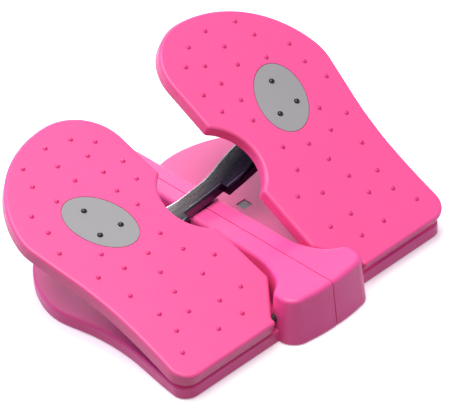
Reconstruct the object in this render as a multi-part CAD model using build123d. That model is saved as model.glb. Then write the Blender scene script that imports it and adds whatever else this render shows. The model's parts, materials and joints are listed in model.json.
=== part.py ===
from build123d import *
from math import cos, sin, radians, degrees
import os

os.makedirs("parts", exist_ok=True)

# Frame: origin on the floor under the hinge axle, in the mirror plane.
# +X is to the user's right, +Y runs from the heel to the toe, +Z is up. Millimetres.

# --- driving dimensions -------------------------------------------------------
HINGE_Z = 24.5            # height of the hinge axle above the floor
MID_ANGLE = 23.4          # slope of a pedal when both are level with each other
REST_SWING = 5.3          # how far the right pedal stands above that slope, at rest
SWING_LIMIT = 8.0         # swing to either side of the mid slope
LEVER_RATIO = 1.36        # rocker degrees for each degree of pedal

PEDAL_THICK = 14.0
PEDAL_TOP = 9.0           # tread surface above the hinge axle
PEDAL_WALL = 3.5
TREAD_SKIN = 4.0
COVER_THICK = 2.5
COVER_SCREWS = [(100, 268), (150, 235), (52, 205), (160, 120), (60, 75), (155, 25), (90, 28)]
RIB_HALF = 1.2
CROSS_RIBS = range(30, 290, 26)
LONG_RIBS = (75, 120, 150)
EDGE_ROUND = 3.3
NUB_RADIUS = 2.7
NUB_HEIGHT = 1.7

AXLE_R = 4.0
BUSH_R = 5.75
BARREL_R = 8.0
RUN_CLEAR = 0.03          # radial running clearance on every pin
EAR_INNER = 88.0          # inner ear of a hinge bracket
EAR_OUTER = 142.0
EAR_THICK = 4.0
EAR_R = 6.5
EAR_NECK = 4.0
AXLE_HALF = 153.0

FOOT_PROUD = 1.5          # the shells stand this far off the floor
FOOT_R = 9.0
FOOT_PLUG_R = 3.5
PLATE_TOP = 3.5           # upper face of the bottom plate
BAR_TOP = 6.5             # upper face of the cross bar, where the rail lies
RAIL_TOP = 18.5
DECK_Z = 14.0
SPINE_NEAR_Z = 51.4
SPINE_FAR_Z = 53.7
SPINE_HALF = 20.0
SPINE_FAR_HALF = 17.8
SPINE_END = 266.0
SHELL_WALL = 3.0
DRAFT = 4.6               # draft of the nose and spine walls, degrees
PARTING = 0.05            # half of the gap between the two shells
SEAM_HALF = 0.5           # half of the groove along their joint
SEAM_DEEP = 1.2
BRACKET_PLATE = 2.2
BRACKET_X = (82.0, 148.0)
BRACKET_Y = (-4.5, 16.0)
BRACKET_SCREWS = [(95, 11), (115, 11), (135, 11)]

PIVOT_Y = 154.0
PIVOT_Z = 36.0
PIN_R = 5.0
PIN_HALF = 13.0
CHEEK = (7.3, 10.3)       # from the middle of the pivot to the faces of each cheek
HUB_R = 10.0
HUB_HALF = 5.8
HUB_ROOM = 14.5
ROCKER_BUSH_R = 7.0
NOTCH_Y = (143.6, 168.0)  # the saddle in the spine that the rocker lies over
NOTCH_Z = 49.5

BAR_THICK = 10.5
BAR_RISE = 23.2           # centre of the bar above its pivot, at the middle
BAR_CURVE = 635.0
BAR_HALF_LENGTH = 110.0
NECK_HALF = 10.0
ARM_HALF = 18.5
NECK_LENGTH = 26.5            # half of the neck's length
ROLLER_AWAY = 20.3        # from the arm's end to the middle of the roller
ROLLER_R = 9.0
ROLLER_HALF = 7.0
ROLLER_PIN_R = 3.5
ROLLER_GAP = 0.35
TRACK_X = (116.5, 142.0)

PLATE_CENTRE = (116.0, 178.7)
PLATE_AXES = (27.0, 39.3)
PLATE_LEAN = -24.4
PLATE_THICK = 1.6
PLATE_GAP = 0.7           # dark line between the oval and the tread
DOMES = [(120, 198), (102, 165), (127, 167)]

NUBS = [
    (71, 272), (99, 278), (53, 256), (134, 271),
    (71, 247), (104, 254), (141, 249), (47, 222),
    (72, 223), (102, 231), (134, 222), (166, 222),
    (51, 198), (77, 198), (166, 198), (72, 174), (174, 173),
    (78, 135), (104, 124), (142, 149), (135, 124), (163, 130),
    (73, 108), (110, 100), (153, 96), (53, 85),
    (78, 75), (115, 75), (145, 64), (59, 42), (87, 42), (120, 50),
    (145, 40), (80, 18), (111, 18), (158, 18),
]

FEET = [(160, 18), (154, 190), (62, 250)]
BASE_SCREWS = [(156, 62), (135, 215), (85, 115), (45, 235)]
DECK_PLUG = (62.5, 156.5)
PLUG_SIDE = 11.5

SIDES = {"left": -1, "right": 1}


# --- helpers ------------------------------------------------------------------
def save(shape, node):
    """Write one node as a STEP file."""
    export_step(shape, f"parts/{node}.step")


def block(x, y, z):
    """A box given by its three (low, high) pairs."""
    sizes = [high - low for low, high in (x, y, z)]
    centre = [(high + low) / 2 for low, high in (x, y, z)]
    return Pos(*centre) * Box(*sizes)


def rod(radius, x, y=0.0, z=0.0):
    """A cylinder along X between x[0] and x[1]."""
    turned = Rot(0, 90, 0) * Cylinder(radius, x[1] - x[0])
    return Pos((x[0] + x[1]) / 2, y, z) * turned


def rod_y(radius, y, x=0.0, z=0.0):
    """A cylinder along Y between y[0] and y[1]."""
    turned = Rot(90, 0, 0) * Cylinder(radius, y[1] - y[0])
    return Pos(x, (y[0] + y[1]) / 2, z) * turned


def post(radius, x, y, z):
    """A cylinder along Z between z[0] and z[1]."""
    return Pos(x, y, (z[0] + z[1]) / 2) * Cylinder(radius, z[1] - z[0])


def group(bodies):
    """Separate solids that share one node."""
    return Compound([solid for body in bodies for solid in body.solids()])


def on_side(shape, side):
    """Shapes are drawn for the right-hand side and mirrored for the left."""
    return shape if side == "right" else mirror(shape, about=Plane.YZ)


def pedal_slope(side):
    """Slope of one pedal at rest, in degrees."""
    return MID_ANGLE + SIDES[side] * REST_SWING


def set_pedal(shape, side):
    """Move a shape from pedal coordinates (tread top at z = 0) to its place at rest."""
    lifted = Pos(0, 0, PEDAL_TOP) * shape
    sloped = Pos(0, 0, HINGE_Z) * (Rot(pedal_slope(side), 0, 0) * lifted)
    return on_side(sloped, side)


def set_rocker(shape):
    """Move a shape from rocker coordinates (pivot at the origin, bar level) to rest."""
    tilted = Rot(0, -REST_SWING * LEVER_RATIO, 0) * shape
    return Pos(0, PIVOT_Y, PIVOT_Z) * tilted


# --- pedal --------------------------------------------------------------------
def pedal_face():
    """Outline of the right pedal, seen from above, hinge axis on y = 0."""
    steps = [(116.5, 77), (55, 23.5), None, (400, -10.5), (800, -4.1), (20, 94.1)]
    straight = 46.3
    toe = (80, 300)
    inner_edge = 28.0
    toe_inner_r = toe[0] - inner_edge + 1.5
    with BuildLine() as outline:
        heading = 0.0
        end = toe
        for step in steps:
            direction = (cos(radians(heading)), sin(radians(heading)))
            if step is None:
                edge = PolarLine(end, straight, direction=direction)
            else:
                radius, turn = step
                edge = JernArc(end, direction, radius, -turn)
                heading -= turn
            end = edge @ 1
        heel = end
        corner = JernArc(toe, (-1, 0), toe_inner_r, 90)
        FilletPolyline(
            heel,
            (60, heel.Y),
            (60, -2.5),
            (inner_edge, 35.2),
            corner @ 1,
            radius=4,
        )
    face = make_face(outline.edges())
    notch_centre = (2.4, 149.4)
    notch_r = 48.0
    face = face - Pos(*notch_centre) * Circle(notch_r)
    sharp = [v for v in face.vertices() if v.X < inner_edge and 100 < v.Y < 200]
    return fillet(sharp, 4)


def plate_face(grow=0.0):
    """The oval let into the tread."""
    oval = Ellipse(PLATE_AXES[0] + grow, PLATE_AXES[1] + grow)
    return Pos(*PLATE_CENTRE) * (Rot(0, 0, PLATE_LEAN) * oval)


def cap(radius, height):
    """The ball whose cap of this base radius stands proud of z = 0."""
    ball_r = (radius**2 + height**2) / (2 * height)
    return Pos(0, 0, height - ball_r) * Sphere(ball_r)


def ear_room():
    """The room that a pedal leaves round one bracket ear over its whole swing."""
    clear = 0.6
    thick = EAR_THICK + 2 * clear
    room = Rot(0, 90, 0) * Cylinder(EAR_R + clear, thick)
    reach = 12.0
    for swing in (-SWING_LIMIT, 0, SWING_LIMIT):
        neck = Pos(0, 0, -reach / 2) * Box(thick, 2 * (EAR_NECK + clear), reach)
        room += Rot(-MID_ANGLE - swing, 0, 0) * neck
    return Pos(0, 0, -PEDAL_TOP) * room


def make_pedal():
    face = pedal_face()
    body = extrude(face, -PEDAL_THICK)
    top_edges = body.faces().sort_by(Axis.Z)[-1].edges()
    body = fillet(top_edges, EDGE_ROUND)

    inside = offset(face, -PEDAL_WALL)
    depth = PEDAL_THICK - TREAD_SKIN
    cavity = Pos(0, 0, -PEDAL_THICK) * extrude(inside, depth)
    inner_z = (-PEDAL_THICK + COVER_THICK, 0)
    for y in CROSS_RIBS:
        cavity -= block((0, 200), (y - RIB_HALF, y + RIB_HALF), inner_z)
    for x in LONG_RIBS:
        cavity -= block((x - RIB_HALF, x + RIB_HALF), (-20, 300), inner_z)
    for x, y in COVER_SCREWS:
        cavity -= post(4, x, y, inner_z)
    heel_block = block((60, 176), (-20, 14), (-20, 0))
    cavity -= heel_block
    body -= cavity

    barrel = rod(BARREL_R, (EAR_INNER + EAR_THICK / 2 + 0.8, EAR_OUTER - EAR_THICK / 2 - 0.8), 0, -PEDAL_TOP)
    body += barrel
    for x in (EAR_INNER, EAR_OUTER):
        body -= Pos(x, 0, 0) * ear_room()
    body -= rod(BUSH_R, (EAR_INNER, EAR_OUTER), 0, -PEDAL_TOP)
    body -= rod(AXLE_R + 0.6, (0, 160), 0, -PEDAL_TOP)
    body -= rod(EAR_R + 0.6, (EAR_OUTER, EAR_OUTER + 5), 0, -PEDAL_TOP)
    for x, y in COVER_SCREWS:
        body -= post(1.2, x, y, (-PEDAL_THICK, -6))

    body -= extrude(plate_face(PLATE_GAP), -PLATE_THICK)
    body += [Pos(x, y, 0) * cap(NUB_RADIUS, NUB_HEIGHT) for x, y in NUBS]
    return body


def make_cover():
    """The plate that closes the pedal's underside."""
    face = offset(pedal_face(), -PEDAL_WALL - 0.3)
    face -= Pos(100, 0) * Rectangle(200, 30)
    plate = Pos(0, 0, -PEDAL_THICK) * extrude(face, COVER_THICK)
    for x, y in COVER_SCREWS:
        plate -= post(1.7, x, y, (-PEDAL_THICK - 1, -PEDAL_THICK + COVER_THICK + 1))
    return plate


def make_cover_screws():
    screws = []
    for x, y in COVER_SCREWS:
        head = post(2.9, x, y, (-PEDAL_THICK - 1.2, -PEDAL_THICK))
        shank = post(1.2, x, y, (-PEDAL_THICK, -6.5))
        screws.append(head + shank)
    return group(screws)


def roller_path(swing):
    """Where the roller's centre lies in pedal coordinates, along and up, at one swing."""
    slope = radians(MID_ANGLE + swing)
    tilt = radians(LEVER_RATIO * swing)
    across = BAR_HALF_LENGTH + ROLLER_AWAY * cos(radians(arm_slope()))
    rise = bar_rise(BAR_HALF_LENGTH) + ROLLER_AWAY * sin(radians(arm_slope()))
    z = PIVOT_Z + across * sin(tilt) + rise * cos(tilt) - HINGE_Z
    along = PIVOT_Y * cos(slope) + z * sin(slope)
    up = z * cos(slope) - PIVOT_Y * sin(slope) - PEDAL_TOP
    return Vector(along, up)


def make_track():
    """The wear strip under a pedal. Its profile stands off the roller's path."""
    steps = 8
    points = []
    for index in range(steps + 1):
        swing = SWING_LIMIT * (2 * index / steps - 1)
        forward = (roller_path(swing + 0.1) - roller_path(swing - 0.1)).normalized()
        points.append(roller_path(swing) + Vector(-forward.Y, forward.X) * (ROLLER_R + ROLLER_GAP))
    start = points[0].X - 2.5
    end = points[-1].X + 5.0
    with BuildLine() as outline:
        wear = Spline(points)
        tail = Line(wear @ 1, (end, (wear @ 1).Y + 1.5))
        lead = Line(wear @ 0, (start, (wear @ 0).Y + 0.5))
        Polyline(tail @ 1, (end, -PEDAL_THICK), (start, -PEDAL_THICK), lead @ 1)
    profile = Plane.YZ * make_face(outline.edges())
    return Pos(TRACK_X[0], 0, 0) * extrude(profile, TRACK_X[1] - TRACK_X[0], dir=(1, 0, 0))


def make_sole_plate():
    return Pos(0, 0, -PLATE_THICK) * extrude(plate_face(), PLATE_THICK)


def make_domes():
    flat = block((0, 200), (0, 300), (0, 10))
    return group([Pos(x, y, 0) * cap(3.1, 2.0) & flat for x, y in DOMES])


def make_pedal_bushes():
    low = EAR_INNER + EAR_THICK / 2 + 0.8
    high = EAR_OUTER - EAR_THICK / 2 - 0.8
    length = 14.0
    bushes = []
    for x in ((low, low + length), (high - length, high)):
        ring = rod(BUSH_R, x, 0, -PEDAL_TOP) - rod(AXLE_R + RUN_CLEAR, x, 0, -PEDAL_TOP)
        bushes.append(ring)
    return group(bushes)


# --- base ---------------------------------------------------------------------
def lobe_face(inset=0.0):
    """Plan of the right deck lobe, carried past the mirror plane."""
    near_y = -7.4 + inset
    corner_r = 15.0 - inset
    outer_x = 177.0 - inset
    past = -20.0
    slant = inset * 0.7
    with BuildLine() as outline:
        near = Line((past, near_y), (outer_x - corner_r, near_y))
        corner = JernArc(near @ 1, (1, 0), corner_r, 95)
        far = Spline(
            corner @ 1,
            (168 - inset, 78),
            (171 - inset, 138),
            (176.5 - inset, 170),
            (165 - inset, 213 - inset * 0.3),
            (125 - slant, 256 - slant),
            (76, 270 - inset),
            (30, 262 - inset),
            tangents=(corner % 1, (-1, -0.3)),
        )
        Polyline(far @ 1, (0, 256 - inset), (past, 256 - inset), near @ 0)
    return make_face(outline.edges())


def nose_face(inset=0.0):
    """Plan of the right half of the nose and near spine at the floor."""
    low_half = SPINE_HALF + 4.0 - inset
    past = -20.0
    front_y = -31.5 + inset
    side_x = 54.5 - inset
    with BuildLine() as outline:
        start = Line((past, front_y), (0, front_y))
        front = ThreePointArc(start @ 1, (18, front_y + 0.5), (36 - inset / 2, front_y + 2.9))
        corner = ThreePointArc(front @ 1, (49.5 - inset * 0.7, -22.3 + inset * 0.7), (side_x, -9))
        side = Line(corner @ 1, (side_x, -3))
        flare = Spline(
            side @ 1,
            (40 - inset * 0.7, 14 - inset * 0.7),
            (29.5 - inset * 0.9, 30 - inset * 0.4),
            (low_half, 62),
            tangents=((0, 1), (0, 1)),
        )
        Polyline(flare @ 1, (low_half, 180), (past, 180), start @ 0)
    return make_face(outline.edges())


def far_spine_face(inset=0.0):
    """Plan of the far half of the spine at the floor."""
    half = SPINE_FAR_HALF + 4.0 - inset
    far_end = SPINE_END + 4.0 - inset
    face = Pos(half / 2 - 10, (120 + far_end) / 2) * Rectangle(half + 20, far_end - 120)
    corner = [v for v in face.vertices() if v.X > 0 and v.Y > 200]
    return fillet(corner, 10 - inset)


def raised(face, low, high):
    """A drafted prism standing on a floor plan."""
    return Pos(0, 0, low) * extrude(face, high - low, taper=DRAFT)


def rounded_top(body, top_z, radius):
    rim = [e for e in body.edges() if e.center().Z > top_z - 0.01 and e.center().X > 1]
    return fillet(rim, radius)


def base_block():
    """The right half of the base as one full block, outside shape only."""
    lobe = Pos(0, 0, FOOT_PROUD) * extrude(lobe_face(), DECK_Z - FOOT_PROUD)
    near = rounded_top(raised(nose_face(), FOOT_PROUD, SPINE_NEAR_Z), SPINE_NEAR_Z, 4.5)
    near -= block((-50, 50), (NOTCH_Y[0] + 10, 200), (0, 80))
    far = raised(far_spine_face(), FOOT_PROUD, SPINE_FAR_Z)
    far = rounded_top(far, SPINE_FAR_Z, 3.5)
    far -= block((-50, 50), (0, NOTCH_Y[0] + 5), (0, 80))
    outside = rounded_top(lobe, DECK_Z, 2.6) + near + far
    return outside - block((-50, 50), NOTCH_Y, (NOTCH_Z, 80))


def inner_block(inset):
    """The right half of the base with this much taken off all round."""
    lobe = extrude(lobe_face(inset), DECK_Z - inset)
    near = raised(nose_face(inset), 0, SPINE_NEAR_Z - inset)
    far = raised(far_spine_face(inset), 0, SPINE_FAR_Z - inset)
    near -= block((-50, 50), (NOTCH_Y[0] - inset, 200), (NOTCH_Z - inset, 80))
    far -= block((-50, 50), (0, NOTCH_Y[1] + inset), (NOTCH_Z - inset, 80))
    return lobe, near, far


def base_room():
    """The room inside the right half of the base."""
    lobe, near, far = inner_block(SHELL_WALL)
    thick_spots = [block((80, 150), (-10, 20), (PLATE_TOP, 20))]
    x, y = DECK_PLUG
    thick_spots.append(block((x - 10, x + 10), (y - 10, y + 10), (BAR_TOP, 20)))
    thick_spots += [post(4.5, x, y, (PLATE_TOP, 20)) for x, y in BASE_SCREWS]
    for spot in thick_spots:
        lobe -= spot
    return lobe + near + far


def make_shell():
    outside = base_block()
    shell = (outside - base_room()) & block((PARTING, 250), (-80, 320), (0, 80))
    seam = outside & block((PARTING, SEAM_HALF), (-80, 320), (0, 80))
    for level in inner_block(SEAM_DEEP):
        seam -= level
    shell -= seam
    shell -= block((0, HUB_ROOM), (PIVOT_Y - 7.5, PIVOT_Y + 7.5), (NOTCH_Z - 10, 60))
    shell -= rod(AXLE_R + 0.3, (20, 70), 0, HINGE_Z)
    plate_x, plate_y = BRACKET_X, BRACKET_Y
    shell -= block(plate_x, plate_y, (DECK_Z - BRACKET_PLATE, DECK_Z + 5))
    for x, y in BRACKET_SCREWS:
        shell -= post(1.5, x, y, (5, DECK_Z))
    x, y = DECK_PLUG
    room = PLUG_SIDE / 2 + 0.3
    shell -= block((x - room, x + room), (y - room, y + room), (DECK_Z - 4, DECK_Z + 1))
    shell -= post(2.1, x, y, (0, DECK_Z))
    for x, y in BASE_SCREWS:
        shell -= post(1.5, x, y, (0, 9))
    return shell


def make_bottom_plate():
    face = lobe_face(SHELL_WALL + 0.3) + nose_face(SHELL_WALL + 0.5)
    half = Pos(0, 0, FOOT_PROUD) * extrude(face, PLATE_TOP - FOOT_PROUD)
    for x, y in BASE_SCREWS:
        half -= post(1.8, x, y, (0, 10))
    for x, y in [(0, 0)] + FEET:
        half -= post(FOOT_PLUG_R, x, y, (0, 10))
    half &= block((0, 250), (-80, 320), (0, 20))
    return half + mirror(half, about=Plane.YZ)


def make_chassis_rail():
    width = 12.0
    wall = 2.0
    y = (-22, 248)
    tube = block((-width, width), y, (BAR_TOP, RAIL_TOP))
    return tube - block((-width + wall, width - wall), y, (BAR_TOP + wall, RAIL_TOP - wall))


def make_cross_bar():
    x, y = DECK_PLUG
    bar = block((-x - 12, x + 12), (y - 11, y + 11), (PLATE_TOP, BAR_TOP))
    for side in SIDES.values():
        bar -= post(2.1, side * x, y, (0, 20))
    return bar


def make_pivot_bracket():
    base_top = RAIL_TOP + 3
    cheek_r = 7.5
    bracket = block((-15, 15), (PIVOT_Y - 17, PIVOT_Y + 17), (RAIL_TOP, base_top))
    for low in (-CHEEK[1], CHEEK[0]):
        span = (PIVOT_Y + low, PIVOT_Y + low + CHEEK[1] - CHEEK[0])
        bracket += block((-cheek_r, cheek_r), span, (RAIL_TOP, PIVOT_Z))
        bracket += rod_y(cheek_r, span, 0, PIVOT_Z)
    return bracket - rod_y(PIN_R, (PIVOT_Y - 20, PIVOT_Y + 20), 0, PIVOT_Z)


def make_pivot_pin():
    return rod_y(PIN_R, (PIVOT_Y - PIN_HALF, PIVOT_Y + PIN_HALF), 0, PIVOT_Z)


def make_pivot_clips():
    """A push-on ring at each end of the pivot pin."""
    rings = []
    for side in SIDES.values():
        near, far = sorted((PIVOT_Y + side * (CHEEK[1] + 0.2), PIVOT_Y + side * (CHEEK[1] + 1.4)))
        ring = rod_y(7.0, (near, far), 0, PIVOT_Z) - rod_y(PIN_R, (near, far), 0, PIVOT_Z)
        rings.append(ring)
    return group(rings)


def make_thrust_washers():
    rings = []
    for side in SIDES.values():
        near, far = sorted((PIVOT_Y + side * (HUB_HALF + 0.3), PIVOT_Y + side * CHEEK[0]))
        ring = rod_y(8.5, (near, far), 0, PIVOT_Z) - rod_y(PIN_R, (near, far), 0, PIVOT_Z)
        rings.append(ring)
    return group(rings)


def make_stop_buffers():
    y = (PIVOT_Y - 5, PIVOT_Y + 5)
    z = (RAIL_TOP + 3, RAIL_TOP + 11)
    pads = [block(sorted((side * 8.2, side * 13.5)), y, z) for side in SIDES.values()]
    return group(pads)


def make_hinge_axle():
    return rod(AXLE_R, (-AXLE_HALF, AXLE_HALF), 0, HINGE_Z)


def make_axle_clips():
    x = (EAR_OUTER + EAR_THICK / 2 + 0.3, EAR_OUTER + EAR_THICK / 2 + 1.8)
    return both_sides([rod(6.5, x, 0, HINGE_Z) - rod(AXLE_R, x, 0, HINGE_Z)])


def make_hinge_bracket():
    low = DECK_Z - BRACKET_PLATE
    bracket = block(BRACKET_X, BRACKET_Y, (low, DECK_Z))
    for x in (EAR_INNER, EAR_OUTER):
        span = (x - EAR_THICK / 2, x + EAR_THICK / 2)
        bracket += block(span, (-EAR_NECK, EAR_NECK), (low, HINGE_Z))
        bracket += rod(EAR_R, span, 0, HINGE_Z)
    bracket -= rod(AXLE_R, (50, 180), 0, HINGE_Z)
    for x, y in BRACKET_SCREWS:
        bracket -= post(1.8, x, y, (0, 20))
    return bracket


def screw(x, y, head_z, up, head_r, shank_r, length):
    """A screw whose head lies under (up = 1) or over (up = -1) its seat at head_z."""
    head = sorted((head_z, head_z - up * 1.2))
    shank = sorted((head_z, head_z + up * length))
    return post(head_r, x, y, head) + post(shank_r, x, y, shank)


def both_sides(shapes):
    """The shapes and their mirror images as one group of separate solids."""
    return group([on_side(shape, side) for side in SIDES for shape in shapes])


def make_bracket_screws():
    return both_sides([screw(x, y, DECK_Z, -1, 2.8, 1.5, 8) for x, y in BRACKET_SCREWS])


def make_base_screws():
    return both_sides([screw(x, y, FOOT_PROUD, 1, 3.2, 1.5, 7) for x, y in BASE_SCREWS])


def make_deck_bolts():
    x, y = DECK_PLUG
    return both_sides([screw(x, y, DECK_Z - 4, -1, 3.5, 2.0, DECK_Z - 4 - PLATE_TOP)])


def make_deck_plugs():
    x, y = DECK_PLUG
    half = PLUG_SIDE / 2
    plug = block((x - half, x + half), (y - half, y + half), (DECK_Z - 2.7, DECK_Z - 0.8))
    plug = fillet(plug.edges().filter_by(Axis.Z), 1.2)
    return both_sides([plug])


def rubber_foot(x, y):
    """A pad with a plug that fills its hole in the bottom plate."""
    pad = post(FOOT_R, x, y, (0, FOOT_PROUD))
    pad = chamfer(pad.edges().sort_by(Axis.Z)[0], 0.6)
    return pad + post(FOOT_PLUG_R, x, y, (FOOT_PROUD, PLATE_TOP + 1.5))


def make_rubber_feet():
    """Three feet on each side and one in the middle, under the hinge axle."""
    outer = both_sides([rubber_foot(x, y) for x, y in FEET])
    return group([outer, rubber_foot(0, 0)])


# --- rocker (its pivot at the origin, bar level) --------------------------------
def bar_rise(x):
    """Height of the bar's centre line above the pivot."""
    return BAR_RISE + x**2 / (2 * BAR_CURVE)


def arm_slope():
    """Slope of the bar at its ends, in degrees."""
    return degrees(BAR_HALF_LENGTH / BAR_CURVE)


def bar_band():
    """The curved plate that the bar is cut from."""
    reach = BAR_HALF_LENGTH
    half = BAR_THICK / 2
    with BuildLine() as outline:
        top = ThreePointArc(
            (-reach, bar_rise(reach) + half), (0, BAR_RISE + half), (reach, bar_rise(reach) + half)
        )
        low = ThreePointArc(
            (-reach, bar_rise(reach) - half), (0, BAR_RISE - half), (reach, bar_rise(reach) - half)
        )
        Line(top @ 0, low @ 0)
        Line(top @ 1, low @ 1)
    profile = Plane.XZ * make_face(outline.edges())
    return extrude(profile, 30, both=True)


def bar_face():
    """Plan of the bar before its near side is cut back at the neck."""
    reach = BAR_HALF_LENGTH
    corner = 8.0
    flare_end = (78, ARM_HALF)
    flare_start = (14, NECK_HALF)
    with BuildLine() as half_outline:
        Spline(flare_start, (45, ARM_HALF - 3.6), flare_end, tangents=((1, 0), (1, 0)))
        Polyline(
            flare_end,
            (reach - corner, ARM_HALF),
            (reach, ARM_HALF - corner),
            (reach, -ARM_HALF + corner),
            (reach - corner, -ARM_HALF),
            (0, -ARM_HALF),
            (0, NECK_HALF),
            flare_start,
        )
    half_face = make_face(half_outline.edges())
    return half_face + mirror(half_face, about=Plane.YZ)


def upper_edge(bar, y, shortest):
    """The upper long edge of the bar's side at this y."""
    along = [e for e in bar.edges() if abs(e.center().Y - y) < 0.01 and e.length > shortest]
    along.sort(key=lambda edge: edge.center().Z)
    return along[-1]


def make_rocker_bar():
    bar = extrude(bar_face(), 80) & bar_band()
    bar = fillet(upper_edge(bar, NECK_HALF, 20), 2.5)
    bar = fillet(upper_edge(bar, -ARM_HALF, 100), 3.5)
    bar -= block((-NECK_LENGTH, NECK_LENGTH), (-40, -NECK_HALF), (0, 60))
    bar = fillet(upper_edge(bar, -NECK_HALF, 40), 3)
    hub = rod_y(HUB_R, (-HUB_HALF, HUB_HALF))
    web = block((-HUB_R, HUB_R), (-HUB_HALF, HUB_HALF), (0, BAR_RISE))
    tail = block((-5, 5), (-5, 5), (-13.5, 0))
    bar += [hub, web, tail]
    bar -= rod_y(ROCKER_BUSH_R, (-HUB_HALF, HUB_HALF))
    for side in SIDES:
        bar += on_side(at_arm_end(rod(5.2, (-2, ROLLER_AWAY - ROLLER_HALF - 0.3))), side)
        bar -= on_side(at_arm_end(rod(ROLLER_PIN_R, (-20, 20))), side)
    return bar


def at_arm_end(shape):
    """Put a shape drawn along X on the slope of the right arm's end."""
    place = Pos(BAR_HALF_LENGTH, 0, bar_rise(BAR_HALF_LENGTH))
    return place * (Rot(0, -arm_slope(), 0) * shape)


def make_rocker_bush():
    span = (-HUB_HALF, HUB_HALF)
    return rod_y(ROCKER_BUSH_R, span) - rod_y(PIN_R + RUN_CLEAR, span)


def make_roller_pins():
    return both_sides([at_arm_end(rod(ROLLER_PIN_R, (-20, ROLLER_AWAY + ROLLER_HALF + 2.4)))])


def make_roller_clips():
    x = (ROLLER_AWAY + ROLLER_HALF + 0.4, ROLLER_AWAY + ROLLER_HALF + 1.6)
    return both_sides([at_arm_end(rod(5.2, x) - rod(ROLLER_PIN_R, x))])


def make_roller():
    """A crowned roller: a ball with its ends cut flat."""
    span = (-ROLLER_HALF, ROLLER_HALF)
    ball = Sphere(ROLLER_R) & rod(ROLLER_R + 1, span)
    ball -= rod(ROLLER_PIN_R + RUN_CLEAR, span)
    return at_arm_end(Pos(ROLLER_AWAY, 0, 0) * ball)


# --- write every node -----------------------------------------------------------
for side in SIDES:
    save(on_side(make_shell(), side), f"base_shell_{side}")
    save(on_side(make_hinge_bracket(), side), f"hinge_bracket_{side}")
    save(set_pedal(make_pedal(), side), f"pedal_{side}")
    save(set_pedal(make_cover(), side), f"pedal_cover_{side}")
    save(set_pedal(make_cover_screws(), side), f"cover_screws_{side}")
    save(set_pedal(make_track(), side), f"roller_track_{side}")
    save(set_pedal(make_sole_plate(), side), f"sole_plate_{side}")
    save(set_pedal(make_domes(), side), f"sole_domes_{side}")
    save(set_pedal(make_pedal_bushes(), side), f"pedal_bushes_{side}")
    save(set_rocker(on_side(make_roller(), side)), f"roller_{side}")

save(make_bottom_plate(), "bottom_plate")
save(make_chassis_rail(), "chassis_rail")
save(make_cross_bar(), "cross_bar")
save(make_pivot_bracket(), "pivot_bracket")
save(make_pivot_pin(), "pivot_pin")
save(make_pivot_clips(), "pivot_clips")
save(make_thrust_washers(), "thrust_washers")
save(make_stop_buffers(), "stop_buffers")
save(make_hinge_axle(), "hinge_axle")
save(make_axle_clips(), "axle_clips")
save(make_bracket_screws(), "bracket_screws")
save(make_base_screws(), "base_screws")
save(make_deck_bolts(), "deck_bolts")
save(make_deck_plugs(), "deck_plugs")
save(make_rubber_feet(), "rubber_feet")
save(set_rocker(make_rocker_bar()), "rocker_bar")
save(set_rocker(make_rocker_bush()), "rocker_bush")
save(set_rocker(make_roller_pins()), "roller_pins")
save(set_rocker(make_roller_clips()), "roller_clips")
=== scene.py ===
import json
import math

import bpy
from mathutils import Matrix, Vector


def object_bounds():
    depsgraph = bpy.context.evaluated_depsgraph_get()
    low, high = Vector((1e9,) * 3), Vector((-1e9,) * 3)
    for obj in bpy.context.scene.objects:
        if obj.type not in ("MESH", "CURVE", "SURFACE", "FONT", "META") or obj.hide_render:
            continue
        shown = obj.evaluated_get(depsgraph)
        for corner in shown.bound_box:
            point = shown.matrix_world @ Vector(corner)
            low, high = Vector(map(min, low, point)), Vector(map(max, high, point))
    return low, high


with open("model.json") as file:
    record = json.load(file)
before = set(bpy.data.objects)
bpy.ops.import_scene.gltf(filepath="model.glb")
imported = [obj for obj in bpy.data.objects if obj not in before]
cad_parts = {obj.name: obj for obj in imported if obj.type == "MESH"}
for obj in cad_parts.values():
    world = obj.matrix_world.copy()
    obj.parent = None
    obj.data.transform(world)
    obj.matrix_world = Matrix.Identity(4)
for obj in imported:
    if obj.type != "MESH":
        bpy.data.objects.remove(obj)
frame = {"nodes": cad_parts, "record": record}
nodes = frame["nodes"]
cad_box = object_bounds()

# --- camera: metres and degrees, with the lens and sensor in millimetres ------------
CAMERA_TARGET = Vector((0.0308, 0.1485, 0.040))
CAMERA_DISTANCE = 3.196
CAMERA_AZIMUTH = -42.65
CAMERA_ELEVATION = 37.31
CAMERA_ROLL = -3.11
CAMERA_LENS = 258.9
CAMERA_SENSOR = 36
CAMERA_CLIP_END = 50

# --- stage: metres, watts, linear colours -------------------------------------------
FLOOR_HALF = 12.0
FLOOR_COLOUR = (0.985, 0.985, 0.985)
FLOOR_GLOW = 0.35
WORLD_COLOUR = (0.165, 0.16, 0.175)
WHITE = (1, 1, 1)
LIGHTS_AIM = Vector((0, 0.14, 0.05))
LIGHTS = (   # name, place, width and height, power, colour
    ("key", (-0.4, 0.4, 2.8), (2.2, 2.2), 90, WHITE),
    ("rim", (1.3, 2.0, 0.95), (1.2, 0.8), 20, WHITE),
    ("lilac_left", (-0.75, 1.9, 0.85), (1.0, 0.5), 15, (0.75, 0.35, 1.0)),
    ("lilac_front", (1.9, -1.2, 0.45), (1.4, 0.7), 10, (0.75, 0.3, 1.0)),
    ("front_fill", (-1.22, -1.95, 1.77), (0.8, 0.8), 8, (1.0, 0.8, 0.9)),
)

# --- where the treads lie: metres and degrees ---------------------------------------
HINGE_Z = 0.0245
TREAD_ABOVE_HINGE = 0.009
TREAD_SLOPES = {"pedal_left": 18.1, "pedal_right": 28.7}
NUB_SHADE_START = 0.0001   # heights above the tread between which the painted nub shade sets in
NUB_SHADE_END = 0.0007
NUB_SHADE_SHARE = 0.95

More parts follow.
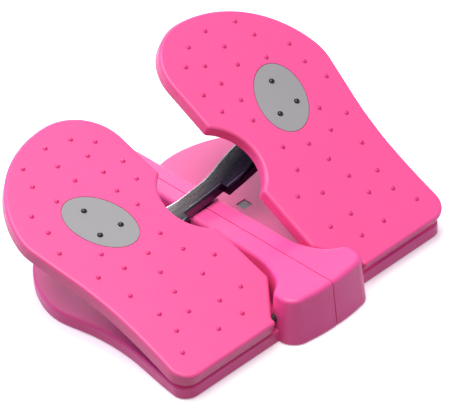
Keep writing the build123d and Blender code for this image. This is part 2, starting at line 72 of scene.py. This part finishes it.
# --- surface colours, linear --------------------------------------------------------
PEDAL_PINK = (0.97, 0.108, 0.335)
SHELL_PINK = (0.95, 0.098, 0.35)
# Painted shade: the deeper pink laid on the nubs to stand in for their shading
NUB_SHADE_PINK = (0.72, 0.02, 0.18)
PLATE_GREY = (0.345, 0.35, 0.345)
PLUG_GREY = (0.27, 0.28, 0.285)
DOME_BLACK = (0.012, 0.012, 0.013)
BLACK_PLASTIC = (0.02, 0.02, 0.022)
BLACK_PAINT = (0.025, 0.025, 0.027)
NYLON = (0.62, 0.60, 0.54)
RUBBER = (0.018, 0.018, 0.018)
STEEL = (0.55, 0.55, 0.56)
# Painted reflection: the chrome's dark, grey and bright colours, laid on by position
CHROME_REFLECTION_DARK = (0.05, 0.035, 0.07)
CHROME_REFLECTION_GREY = (0.27, 0.275, 0.28)
CHROME_REFLECTION_BRIGHT = (0.95, 0.95, 0.95)

# --- painted reflection on the chrome -----------------------------------------------
REFLECTION_ACROSS = (-12.0, 50.0, 0)   # how fast the painted reflection brightens along +X and +Y, per metre
REFLECTION_SPAN = (7.0, 9.0)           # where on that scale the painted reflection goes from dark to bright
REFLECTION_GREY_STOP = 0.55                  # share of the span at which the painted reflection is mid grey

# --- moulded plastics: colour, mean roughness, spread of the colour -----------------
MOULDED = {
    "pink_shell": (SHELL_PINK, 0.36, 0.02),
    "grey_plastic": (PLATE_GREY, 0.42, 0.03),
    "plug_grey": (PLUG_GREY, 0.5, 0.03),
    "black_dome": (DOME_BLACK, 0.2, 0.1),
    "black_plastic": (BLACK_PLASTIC, 0.55, 0.1),
    "nylon": (NYLON, 0.45, 0.04),
}
PEDAL_FINISH = (PEDAL_PINK, 0.38, 0.02)

# Range of noise values over which a colour varies
NOISE_SPAN = (0.3, 0.7)

# Colour sockets of the Mix node, whose names its number and vector sockets share
MIX_A, MIX_B, MIX_RESULT = 6, 7, 2

# Nodes whose look differs from their slot's
OWN_LOOKS = {
    "deck_plugs": "plug_grey",
    "hinge_axle": "black_steel",
    "pedal_left": "pedal_left",
    "pedal_right": "pedal_right",
}


# --- surfaces -----------------------------------------------------------------------
class Surface:
    """A principled material with helpers for its procedural detail."""

    def __init__(self, name, roughness, metallic=0.0):
        self.material = bpy.data.materials.new(name)
        self.material.use_nodes = True
        self.tree = self.material.node_tree
        self.shader = self.tree.nodes["Principled BSDF"]
        self.shader.inputs["Roughness"].default_value = roughness
        self.shader.inputs["Metallic"].default_value = metallic
        self.place = self.add("ShaderNodeTexCoord").outputs["Object"]

    def add(self, kind):
        return self.tree.nodes.new(kind)

    def link(self, source, target):
        self.tree.links.new(source, target)

    def noise(self, scale, detail=2.0, stretch=(1, 1, 1)):
        mapping = self.add("ShaderNodeMapping")
        mapping.inputs["Scale"].default_value = stretch
        texture = self.add("ShaderNodeTexNoise")
        texture.inputs["Scale"].default_value = scale
        texture.inputs["Detail"].default_value = detail
        self.link(self.place, mapping.inputs["Vector"])
        self.link(mapping.outputs["Vector"], texture.inputs["Vector"])
        return texture.outputs["Fac"]

    def along(self, direction):
        """How far the shaded point lies along a direction, times that vector's length."""
        product = self.add("ShaderNodeVectorMath")
        product.operation = "DOT_PRODUCT"
        product.inputs[1].default_value = direction
        self.link(self.place, product.inputs[0])
        return product.outputs["Value"]

    def remap(self, value, start, end, low=0.0, high=1.0):
        """Carry the range start..end over to low..high, clamped at both ends."""
        mapped = self.add("ShaderNodeMapRange")
        mapped.inputs["From Min"].default_value = start
        mapped.inputs["From Max"].default_value = end
        mapped.inputs["To Min"].default_value = low
        mapped.inputs["To Max"].default_value = high
        self.link(value, mapped.inputs["Value"])
        return mapped.outputs["Result"]

    def colour(self, base, spread, factor):
        """Vary the base colour a little with a noise factor."""
        ramp = self.add("ShaderNodeValToRGB")
        for stop, gain in ((0, 1 - spread), (1, 1 + spread)):
            element = ramp.color_ramp.elements[stop]
            element.color = [min(1, channel * gain) for channel in base] + [1]
            element.position = NOISE_SPAN[stop]
        self.link(factor, ramp.inputs["Fac"])
        self.link(ramp.outputs["Color"], self.shader.inputs["Base Color"])

    def roughness(self, low, high, factor):
        """Vary the roughness between two values with a noise factor."""
        gloss = self.remap(factor, 0.0, 1.0, low, high)
        self.link(gloss, self.shader.inputs["Roughness"])

    def bump(self, height, depth, strength):
        """Depth is the real height of the relief in metres."""
        relief = self.add("ShaderNodeBump")
        relief.inputs["Distance"].default_value = depth
        relief.inputs["Strength"].default_value = strength
        self.link(height, relief.inputs["Height"])
        self.link(relief.outputs["Normal"], self.shader.inputs["Normal"])


def moulded_plastic(name, base, roughness, spread):
    """Injection moulded plastic: fine spark texture, slow flow marks in colour and gloss."""
    surface = Surface(name, roughness)
    surface.colour(base, spread, surface.noise(scale=9.0, detail=3.0))
    gloss_marks = surface.noise(scale=60.0)
    surface.roughness(roughness - 0.05, roughness + 0.06, gloss_marks)
    surface.bump(surface.noise(scale=900.0), depth=0.00004, strength=0.35)
    return surface


def tread_plastic(name, slope):
    """Pedal plastic with painted shade on the nubs: a deeper pink where they stand above the
    tread.
    """
    surface = moulded_plastic(name, *PEDAL_FINISH)
    lean = math.radians(slope)
    tread = HINGE_Z * math.cos(lean) + TREAD_ABOVE_HINGE
    height = surface.along((0, -math.sin(lean), math.cos(lean)))
    # Painted shade: the nubs are tinted deeper pink by their height above the tread
    painted_nub_shade = surface.remap(
        height, tread + NUB_SHADE_START, tread + NUB_SHADE_END, high=NUB_SHADE_SHARE)
    plain = surface.shader.inputs["Base Color"].links[0].from_socket
    blend = surface.add("ShaderNodeMix")
    blend.data_type = "RGBA"
    blend.inputs[MIX_B].default_value = (*NUB_SHADE_PINK, 1)
    surface.link(painted_nub_shade, blend.inputs["Factor"])
    surface.link(plain, blend.inputs[MIX_A])
    surface.link(blend.outputs[MIX_RESULT], surface.shader.inputs["Base Color"])
    return surface


def dark_chrome():
    """Dark chrome with polishing marks and a painted reflection that is brightest along its
    far left edge.
    """
    surface = Surface("dark_chrome", roughness=0.26, metallic=1.0)
    # Painted reflection: the base colour runs from dark through grey to bright across the
    # bar, set by position
    ramp = surface.add("ShaderNodeValToRGB")
    stops = ramp.color_ramp.elements
    stops[0].color = (*CHROME_REFLECTION_DARK, 1)
    stops[1].color = (*CHROME_REFLECTION_BRIGHT, 1)
    stops.new(REFLECTION_GREY_STOP).color = (*CHROME_REFLECTION_GREY, 1)
    surface.link(surface.remap(surface.along(REFLECTION_ACROSS), *REFLECTION_SPAN), ramp.inputs["Fac"])
    surface.link(ramp.outputs["Color"], surface.shader.inputs["Base Color"])
    streaks = surface.noise(scale=260.0, detail=3.0, stretch=(0.06, 1, 1))
    surface.roughness(low=0.22, high=0.32, factor=streaks)
    surface.bump(streaks, depth=0.00001, strength=0.12)
    return surface


def plated_steel():
    """Zinc plate with drawing marks along X."""
    surface = Surface("zinc_steel", roughness=0.32, metallic=1.0)
    surface.colour(STEEL, spread=0.08, factor=surface.noise(scale=180.0))
    streaks = surface.noise(scale=900.0, stretch=(0.1, 1, 1))
    surface.roughness(low=0.24, high=0.42, factor=streaks)
    surface.bump(streaks, depth=0.00001, strength=0.3)
    return surface


def painted_steel():
    """Powder coat with its orange-peel relief."""
    surface = Surface("black_steel", roughness=0.5)
    surface.colour(BLACK_PAINT, spread=0.15, factor=surface.noise(scale=220.0))
    surface.roughness(low=0.4, high=0.6, factor=surface.noise(scale=500.0))
    surface.bump(surface.noise(scale=1100.0, detail=4.0), depth=0.00006, strength=0.6)
    return surface


def rubber():
    """Matt rubber with a fine raised grain."""
    surface = Surface("rubber", roughness=0.8)
    surface.colour(RUBBER, spread=0.2, factor=surface.noise(scale=300.0))
    surface.roughness(low=0.7, high=0.9, factor=surface.noise(scale=700.0))
    surface.bump(surface.noise(scale=1600.0, detail=4.0), depth=0.00008, strength=0.7)
    return surface


def make_surfaces():
    """Finished surfaces, by the slot or the node that wears them."""
    surfaces = {slot: moulded_plastic(slot, *finish) for slot, finish in MOULDED.items()}
    for node, slope in TREAD_SLOPES.items():
        surfaces[node] = tread_plastic("pink_" + node, slope)
    surfaces["dark_chrome"] = dark_chrome()
    surfaces["zinc_steel"] = plated_steel()
    surfaces["black_steel"] = painted_steel()
    surfaces["rubber"] = rubber()
    return surfaces


def dress_nodes():
    """Give every CAD node the look of its slot, or its own where it has one."""
    surfaces = make_surfaces()
    looks = {part["node"]: part["material_slot"] for part in frame["record"]["subparts"]}
    looks.update(OWN_LOOKS)
    for name, node in nodes.items():
        for slot in node.material_slots:
            slot.material = surfaces[looks[name]].material


# --- stage --------------------------------------------------------------------------
def add_to_scene(item):
    bpy.context.scene.collection.objects.link(item)


def make_floor():
    """A wide pale floor, level with the feet, that casts no diffuse light on the model."""
    half = FLOOR_HALF
    level = cad_box[0][2]
    mesh = bpy.data.meshes.new("studio_floor")
    corners = [
        (-half, -half, level),
        (half, -half, level),
        (half, half, level),
        (-half, half, level),
    ]
    mesh.from_pydata(corners, [], [(0, 1, 2, 3)])
    floor = bpy.data.objects.new("studio_floor", mesh)
    add_to_scene(floor)
    surface = Surface("studio_floor", roughness=0.9)
    surface.shader.inputs["Emission Color"].default_value = (*WHITE, 1)
    surface.shader.inputs["Emission Strength"].default_value = FLOOR_GLOW
    surface.colour(FLOOR_COLOUR, spread=0.004, factor=surface.noise(scale=0.8))
    mesh.materials.append(surface.material)
    floor.visible_diffuse = False


def make_lights():
    for name, place, size, power, colour in LIGHTS:
        data = bpy.data.lights.new(name, "AREA")
        data.shape = "RECTANGLE"
        data.size, data.size_y = size
        data.energy = power
        data.color = colour
        light = bpy.data.objects.new(name, data)
        light.location = place
        beam = LIGHTS_AIM - Vector(place)
        light.rotation_euler = beam.to_track_quat("-Z", "Y").to_euler()
        add_to_scene(light)
    world = bpy.data.worlds.new("studio")
    world.use_nodes = True
    background = world.node_tree.nodes["Background"]
    background.inputs["Color"].default_value = (*WORLD_COLOUR, 1)
    bpy.context.scene.world = world


def make_camera():
    azimuth = math.radians(CAMERA_AZIMUTH)
    elevation = math.radians(CAMERA_ELEVATION)
    roll = math.radians(CAMERA_ROLL)
    back = Vector((
        math.sin(azimuth) * math.cos(elevation),
        -math.cos(azimuth) * math.cos(elevation),
        math.sin(elevation),
    ))
    level = Vector((math.cos(azimuth), math.sin(azimuth), 0))
    upright = back.cross(level)
    right = level * math.cos(roll) + upright * math.sin(roll)
    up = back.cross(right)
    turn = Matrix((right, up, back)).transposed().to_4x4()
    data = bpy.data.cameras.new("camera")
    data.lens = CAMERA_LENS
    data.sensor_width = CAMERA_SENSOR
    data.clip_end = CAMERA_CLIP_END
    camera = bpy.data.objects.new("camera", data)
    camera.matrix_world = Matrix.Translation(CAMERA_TARGET + back * CAMERA_DISTANCE) @ turn
    add_to_scene(camera)
    bpy.context.scene.camera = camera


dress_nodes()
make_floor()
make_lights()
make_camera()
bpy.context.scene.view_settings.view_transform = "Standard"
